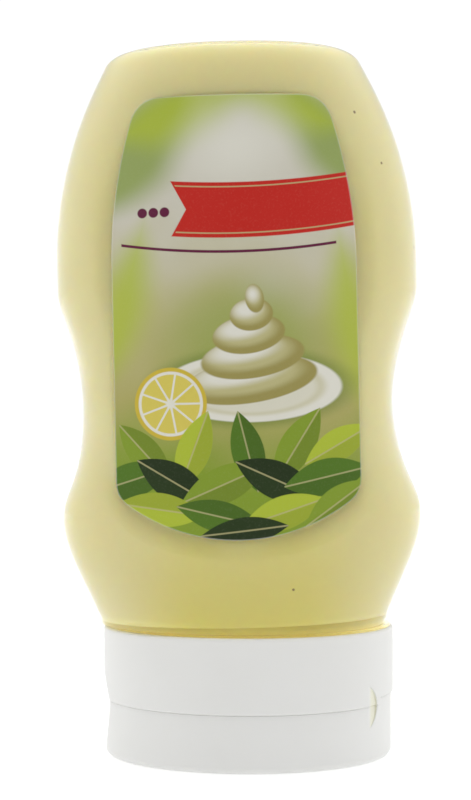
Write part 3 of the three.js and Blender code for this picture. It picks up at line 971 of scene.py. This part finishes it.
# Ribbon with a swallow tail, the rule under it and the dots before it.
RIBBON_BOW = 0.004
RIBBON_UP = 115.0
RIBBON_HALF = 5.6
RIBBON_TAIL = -9.5
RIBBON_TAIL_SLANT = 0.55
STRIPE_PLACE = 4.7
STRIPE_HALF = 0.14
STRIPE_BLUR = 0.08
STRIPE_INSET = 0.4
STRIPE_SHARE = 0.8
RULE_UP = 106.6
RULE_HALF = 0.28
RULE_MIDDLE = -1.0
RULE_REACH = 22.0
RULE_BLUR = 0.1
DOT_PLACES = (-18.5, -16.2, -13.9)
DOT_RADIUS = 1.0


def front_artwork(place):
    """A soft green and cream ground, a bed of leaves, a swirl of cream, lemon and a blank ribbon."""
    art = Print(place)
    haze = place.noise(*GROUND_HAZE_NOISE)
    rise = (art.up - GROUND_FOOT) / GROUND_RISE + (haze - HAZE_MIDDLE) * GROUND_HAZE_SHARE
    art.colour = rise.node("ShaderNodeValToRGB", {"stops": GROUND_STOPS}, {0: rise})
    for across, up, turn, length, width, colour in BLURRED_LEAVES:
        along, off = art.turned(across, up, turn)
        blurred = width * (1 - (along / length) ** 2.0) - abs(off)
        art.lay(blurred.soft_step(*BLURRED_RANGE) * BLURRED_SHARE, colour)
    art.lay(art.oval(*SHINE).soft_step(*SHINE_RANGE) * SHINE_SHARE, EDGE_WHITE)

    art.lay(art.oval(*BACKING).soft_step(*BACKING_RANGE) * BACKING_SHARE, LEAF_GREEN)
    plate = art.oval(*PLATE)
    art.lay(plate.soft_step(*PLATE_SHADOW_RANGE) * PLATE_SHADOW_SHARE, MID_GREEN)
    art.lay(art.inside(plate, PLATE_BLUR), EDGE_WHITE)
    art.lay(art.inside(plate - PLATE_RIM, PLATE_RIM_BLUR) * PLATE_RIM_SHARE, CREAM)
    art.lay(art.inside(plate - PLATE_WELL, PLATE_RIM_BLUR) * PLATE_RIM_SHARE, EDGE_WHITE)
    for across, up, wide, high in SWIRL_FOLDS:
        shape = art.inside(art.oval(across, up, wide, high, FOLD_TURN), FOLD_BLUR)
        art.lay(shape, SHADOW)
        for left, lift, share_wide, share_high, soft, colour in FOLD_LIGHTS:
            middle = (across - left * wide, up + lift * high)
            light = art.oval(*middle, wide * share_wide, high * share_high, FOLD_TURN)
            art.lay(light.soft_step(*soft) * shape, colour)

    along, off = art.turned(SLICE_ACROSS, SLICE_UP, 0.0)
    radius = (along * along + off * off) ** 0.5
    angle = along.node("ShaderNodeMath", {"operation": "ARCTAN2"}, {0: off, 1: along})
    art.lay(art.inside(PEEL_RADIUS - radius), LEMON)
    art.lay(art.inside(PITH_RADIUS - radius), EDGE_WHITE)
    wedge = abs((angle * SEGMENT_WAVES).wave()) * radius
    flesh = art.inside(FLESH_RADIUS - radius) * art.inside(wedge - SEGMENT_GAP, SEGMENT_BLUR)
    art.lay(flesh, LEMON_FLESH)

    for across, up, turn, length, width, colour in BED_LEAVES:
        art.leaf(across, up, turn, length, width, colour, CREAM)

    bow = art.up - RIBBON_BOW * art.across * art.across
    from_middle = abs(bow - RIBBON_UP)
    tail = art.across - RIBBON_TAIL + RIBBON_TAIL_SLANT * from_middle
    ribbon = (RIBBON_HALF - from_middle).least(tail)
    art.lay(art.inside(ribbon), RIBBON_RED)
    stripe = art.inside(STRIPE_HALF - abs(from_middle - STRIPE_PLACE), STRIPE_BLUR)
    art.lay(stripe * art.inside(ribbon - STRIPE_INSET) * STRIPE_SHARE, CREAM)
    rule = (RULE_HALF - abs(bow - RULE_UP)).least(RULE_REACH - abs(art.across - RULE_MIDDLE))
    art.lay(art.inside(rule, RULE_BLUR), RULE_PURPLE)
    for across in DOT_PLACES:
        art.lay(art.inside(art.oval(across, RIBBON_UP, DOT_RADIUS, DOT_RADIUS)), RULE_PURPLE)
    return art


FILM_EDGE = (0.08, 0.26)
FILM_EDGE_SHARE = 0.4
PRINT_DOT_SCALE = 2400.0
PRINT_DOT_RANGE = (0.5, 0.75)
PRINT_DOT_SHARE = 0.02
FILM_SCALE = 120.0
FILM_ROUGHNESS = 0.34
FILM_SOFT_ROUGHNESS = 0.12
PRINT_DOT_ROUGHNESS = 0.05
PRINT_DOT_RELIEF = 0.3
FILM_STRENGTH = 0.08
FILM_HEIGHT = 0.00008


def label_film(name, artwork):
    """Printed film under a satin varnish, with the pale cut edge of the film all round."""
    material, shader, place = new_finish(name, IOR=1.5, Specular_IOR_Level=0.3)
    art = artwork(place)
    art.lay((1 - art.edge.soft_step(*FILM_EDGE)) * FILM_EDGE_SHARE, EDGE_WHITE)
    dots = place.noise(PRINT_DOT_SCALE)
    soft = place.noise(FILM_SCALE)
    speckle = dots.soft_step(*PRINT_DOT_RANGE) * PRINT_DOT_SHARE
    feed(
        shader,
        Base_Color=speckle.blend(art.colour, EDGE_WHITE),
        Roughness=FILM_ROUGHNESS + FILM_SOFT_ROUGHNESS * soft + PRINT_DOT_ROUGHNESS * dots,
        Normal=(dots * PRINT_DOT_RELIEF + soft).bump(FILM_STRENGTH, FILM_HEIGHT),
    )
    return material


front_label = label_sheet("front_label_film", -1)
front_label.data.materials.append(label_film("front_label_print", front_artwork))
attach(front_label, "root")
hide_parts("label_front")


# Back print: waved fields above or below a height, ruled bars and a framed panel of thin lines.
BACK_HAZE_NOISE = (60.0, 1.0)
BACK_HAZE_LEAST = 0.3
BACK_HAZE_SHARE = 0.5
WAVE_HEIGHT = 1.6
WAVE_PACE = 0.16
HEAD_FIELDS = ((124.0, LEAF_GREEN), (127.0, MID_GREEN))
FOOT_FIELDS = ((66.0, SPRING_GREEN), (62.5, MID_GREEN), (57.0, DEEP_GREEN))
BAR_TOP = 116.0
BAR_STEP = 3.2
BAR_HALF = 0.55
BAR_LEFT = -20.0
BAR_REACHES = (19.0, 17.5, 18.6, 16.0, 18.2, 17.0, 18.8, 15.0, 9.0)
BAR_BLUR = 0.1
BAR_SHARE = 0.8
NOTES_UP = 76.5
NOTES_HALF_HEIGHT = 7.5
NOTES_HALF_WIDTH = 20.0
NOTES_LINES = (72.0, 75.0, 78.0, 81.0)
NOTES_LINE_HALF = 0.14
NOTES_LINE_REACH = 18.5
NOTES_LINE_BLUR = 0.08
NOTES_FRAME_INSET = 0.5
NOTES_FRAME_HALF = 0.2


def back_artwork(place):
    """Cream ground, green head and foot, blank ruled bars and a framed panel of thin lines."""
    art = Print(place)
    haze = place.noise(*BACK_HAZE_NOISE)
    art.colour = (BACK_HAZE_LEAST + BACK_HAZE_SHARE * haze).blend(PALE, CREAM)
    waved = art.up + WAVE_HEIGHT * (art.across * WAVE_PACE).wave()
    for height, colour in HEAD_FIELDS:
        art.lay(art.inside(waved - height), colour)
    for height, colour in FOOT_FIELDS:
        art.lay(art.inside(height - waved), colour)
    for row, reach in enumerate(BAR_REACHES):
        height = BAR_TOP - row * BAR_STEP
        bar = (BAR_HALF - abs(art.up - height)).least(reach - abs(art.across - BAR_LEFT - reach))
        art.lay(art.inside(bar, BAR_BLUR) * BAR_SHARE, RULE_PURPLE)
    notes = (NOTES_HALF_HEIGHT - abs(art.up - NOTES_UP)).least(NOTES_HALF_WIDTH - abs(art.across))
    art.lay(art.inside(notes), EDGE_WHITE)
    for height in NOTES_LINES:
        line = (NOTES_LINE_HALF - abs(art.up - height)).least(NOTES_LINE_REACH - abs(art.across))
        art.lay(art.inside(line, NOTES_LINE_BLUR), DEEP_GREEN)
    border = NOTES_FRAME_HALF - abs(notes - NOTES_FRAME_INSET)
    art.lay(art.inside(border, NOTES_LINE_BLUR), DEEP_GREEN)
    return art


back_label = label_sheet("back_label_film", 1)
back_label.data.materials.append(label_film("back_label_print", back_artwork))
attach(back_label, "root")
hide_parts("label_back")


# Studio. The bottle stands on a white lit table in a white light tent, which is open to the front
# and dim at the back above a low white screen, so the front is a little darker than the sides.
# The camera looks level at the middle of the bottle.
FLOOR_HALF = 2.0
FLOOR_DROP = 0.00003
FLOOR_SQUARES = 8
FLOOR_GREY = ink(200, 201, 201)
FLOOR_PALE = ink(205, 205, 205)
FLOOR_CLOUD_SCALE = 3.0
WHITE_LIGHT = (1.0, 1.0, 1.0, 1.0)
TENT_LIGHT = 1.05
TENT_OPENING = 1.04
TENT_BACK = 0.85
SCREEN_LOW = 0.1
SCREEN_HIGH = 0.5
TENT_TOP = 0.7
CAMERA_PLACE = (-0.00283, -0.318, 0.0765)
CAMERA_LENS = 65.64
CAMERA_SENSOR = 36.0
CAMERA_NEAR = 0.01


def floor_piece():
    """A wide flat sheet with its middle under the bottle."""
    work = bmesh.new()
    bmesh.ops.create_grid(work, x_segments=FLOOR_SQUARES, y_segments=FLOOR_SQUARES, size=FLOOR_HALF)
    mesh = bpy.data.meshes.new("table_top")
    work.to_mesh(mesh)
    work.free()
    piece = bpy.data.objects.new("table_top", mesh)
    piece.location.z = -FLOOR_DROP
    bpy.context.scene.collection.objects.link(piece)
    return piece


floor = floor_piece()
floor_finish, floor_shader, floor_place = new_finish(
    "lit_white_table",
    Emission_Color=WHITE_LIGHT,
    Emission_Strength=0.46,
    Roughness=0.2,
)
floor_cloud = floor_place.noise(FLOOR_CLOUD_SCALE)
feed(floor_shader, Base_Color=floor_cloud.blend(FLOOR_GREY, FLOOR_PALE))
floor.data.materials.append(floor_finish)

world = bpy.data.worlds.new("light_tent")
bpy.context.scene.world = world
world.use_nodes = True
sky = Shade(world.node_tree)
heading = sky.node("ShaderNodeTexCoord", None, None, "Generated")
towards = heading.node("ShaderNodeSeparateXYZ", None, {0: heading}, "Y")
upward = heading.node("ShaderNodeSeparateXYZ", None, {0: heading}, "Z")
backdrop = sky.node("ShaderNodeLightPath", None, None, "Is Camera Ray")
light = TENT_LIGHT + TENT_TOP * upward.most(0.0) - TENT_OPENING * (-towards).soft_step(0.0, 1.0)
above_screen = upward.soft_step(SCREEN_LOW, SCREEN_HIGH)
light = light - TENT_BACK * towards.soft_step(0.0, 1.0) * above_screen
strength = light + backdrop * (TENT_LIGHT - light)
background = world.node_tree.nodes["Background"]
background.inputs["Color"].default_value = WHITE_LIGHT
world.node_tree.links.new(strength.socket, background.inputs["Strength"])

lens = bpy.data.cameras.new("camera")
lens.lens = CAMERA_LENS
lens.sensor_width = CAMERA_SENSOR
lens.clip_start = CAMERA_NEAR
camera = bpy.data.objects.new("camera", lens)
camera.location = CAMERA_PLACE
camera.rotation_euler = (math.pi / 2, 0.0, 0.0)
bpy.context.scene.collection.objects.link(camera)
bpy.context.scene.camera = camera
bpy.context.scene.view_settings.view_transform = "Standard"
